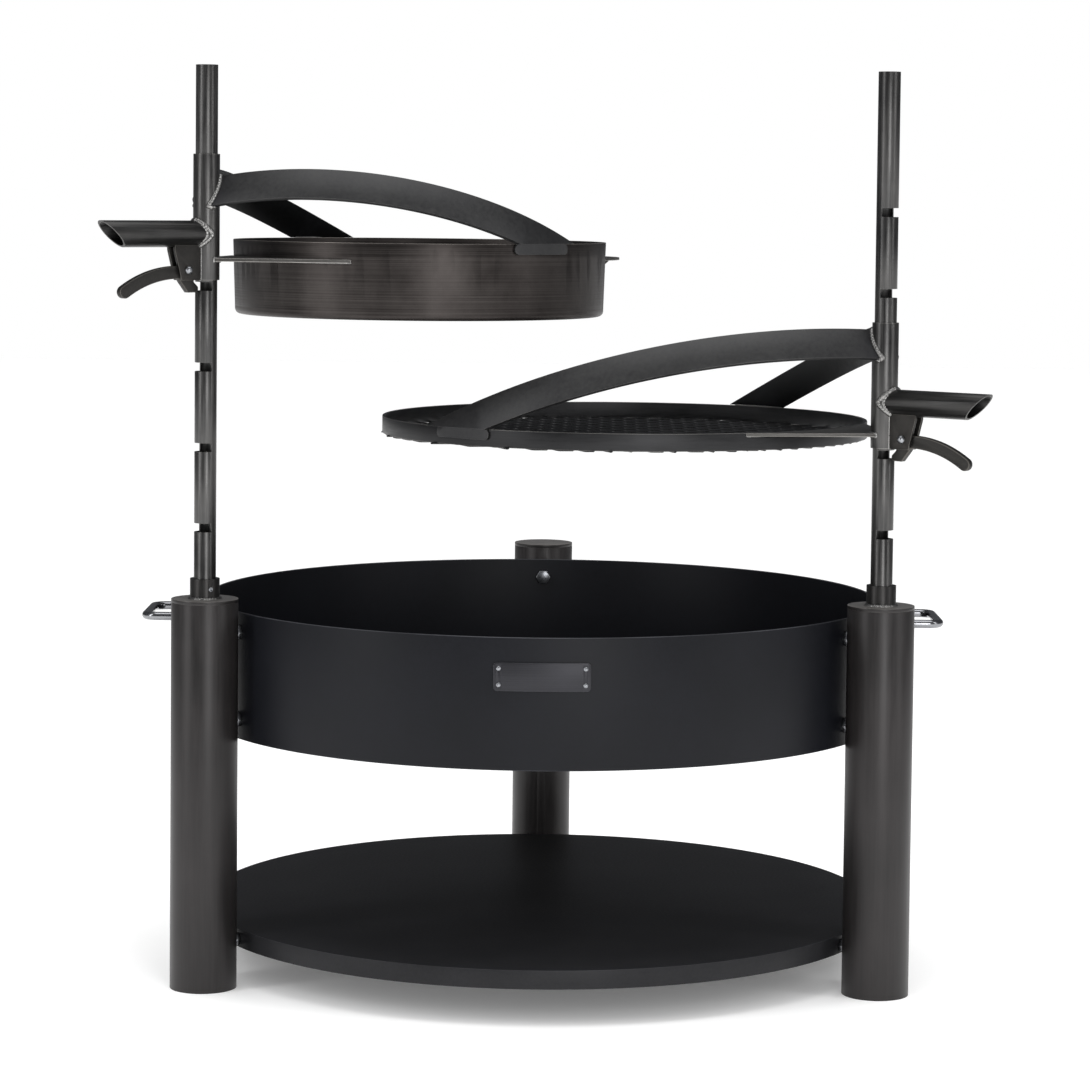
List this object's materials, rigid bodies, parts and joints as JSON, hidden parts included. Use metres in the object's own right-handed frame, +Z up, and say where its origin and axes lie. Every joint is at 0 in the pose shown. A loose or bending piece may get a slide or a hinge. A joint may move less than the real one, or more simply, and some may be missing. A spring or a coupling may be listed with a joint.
{
  "type": "fire pit with grate",
  "caption": "Round steel fire bowl on pipe legs over a log shelf, with a pan and a mesh grate on swinging arms whose sleeves latch at different heights on upright poles.",
  "frame": {"origin": "on the ground, at the middle of the footprint of the whole assembly", "axes": "+Z up, the viewer on the -Y side, the pan arm on the -X side and the grate arm on the +X side"},
  "size_m": [0.9916, 0.8832, 1.049],
  "materials": {
    "ring_paint": "satin black heat-resistant coating",
    "shelf_paint": "satin black coating",
    "leg_steel": "satin dark grey coating",
    "cap_steel": "waxed bare steel",
    "pole_steel": "waxed bare steel tube",
    "bar_steel": "waxed flat bar, darker near the welds",
    "plate_steel": "waxed steel plate with bright cut edges",
    "latch_steel": "waxed cut steel plate",
    "pan_steel": "waxed steel sheet, brushed around",
    "grate_steel": "waxed raised expanded steel",
    "zinc": "bright zinc plating",
    "stainless": "polished stainless rod",
    "badge": "fine brushed plate"
  },
  "bodies": {
    "root": {"fire_ring": "ring_paint", "bowl_floor": "ring_paint", "log_shelf": "shelf_paint", "left_leg": "leg_steel", "right_leg": "leg_steel", "rear_leg": "leg_steel", "left_socket_stop": "leg_steel", "right_socket_stop": "leg_steel", "left_leg_cap": "cap_steel", "right_leg_cap": "cap_steel", "rear_leg_cap": "cap_steel", "left_pole_socket": "cap_steel", "right_pole_socket": "cap_steel", "ring_bolts": "zinc", "ring_weld_nuts": "zinc", "shelf_bolts": "zinc", "shelf_weld_nuts": "zinc", "left_grub_screw": "zinc", "right_grub_screw": "zinc", "badge_rivets": "zinc", "left_carry_handle": "stainless", "right_carry_handle": "stainless", "badge_plate": "badge"},
    "left_pole": {"left_pole": "pole_steel"},
    "left_arm": {"left_sleeve": "pole_steel", "left_grip_tube": "pole_steel", "left_front_bar": "bar_steel", "left_rear_bar": "bar_steel", "left_gusset": "plate_steel", "left_latch_plates": "latch_steel", "left_pivot_bolt": "zinc", "left_pivot_nut": "zinc", "pan": "pan_steel", "pan_handle": "plate_steel"},
    "left_lever": {"left_latch_lever": "latch_steel"},
    "right_pole": {"right_pole": "pole_steel"},
    "right_arm": {"right_sleeve": "pole_steel", "right_grip_tube": "pole_steel", "right_front_bar": "bar_steel", "right_rear_bar": "bar_steel", "right_gusset": "plate_steel", "right_latch_plates": "latch_steel", "right_pivot_bolt": "zinc", "right_pivot_nut": "zinc", "grate_ring": "grate_steel", "grate_mesh": "grate_steel"},
    "right_lever": {"right_latch_lever": "latch_steel"}
  },
  "joints": [
    {"name": "left_swing", "type": "hinge", "parent": "root", "child": "left_pole", "pos_m": [-0.38369, -0.2602, 0.469], "axis": [0, 0, 1], "continuous": true},
    {"name": "left_height", "type": "slide", "parent": "left_pole", "child": "left_arm", "axis": [0, 0, 1], "range_m": [0, 0.091]},
    {"name": "left_lever", "type": "hinge", "parent": "left_arm", "child": "left_lever", "pos_m": [-0.40584, -0.27814, 0.8185], "axis": [-0.6293, 0.7771, 0], "range_deg": [-8, 20]},
    {"name": "right_swing", "type": "hinge", "parent": "root", "child": "right_pole", "pos_m": [0.38369, -0.2602, 0.469], "axis": [0, 0, 1], "continuous": true},
    {"name": "right_height", "type": "slide", "parent": "right_pole", "child": "right_arm", "axis": [0, 0, 1], "range_m": [-0.091, 0]},
    {"name": "right_lever", "type": "hinge", "parent": "right_arm", "child": "right_lever", "pos_m": [0.40584, -0.27814, 0.6365], "axis": [-0.6293, -0.7771, 0], "range_deg": [-8, 20]}
  ]
}
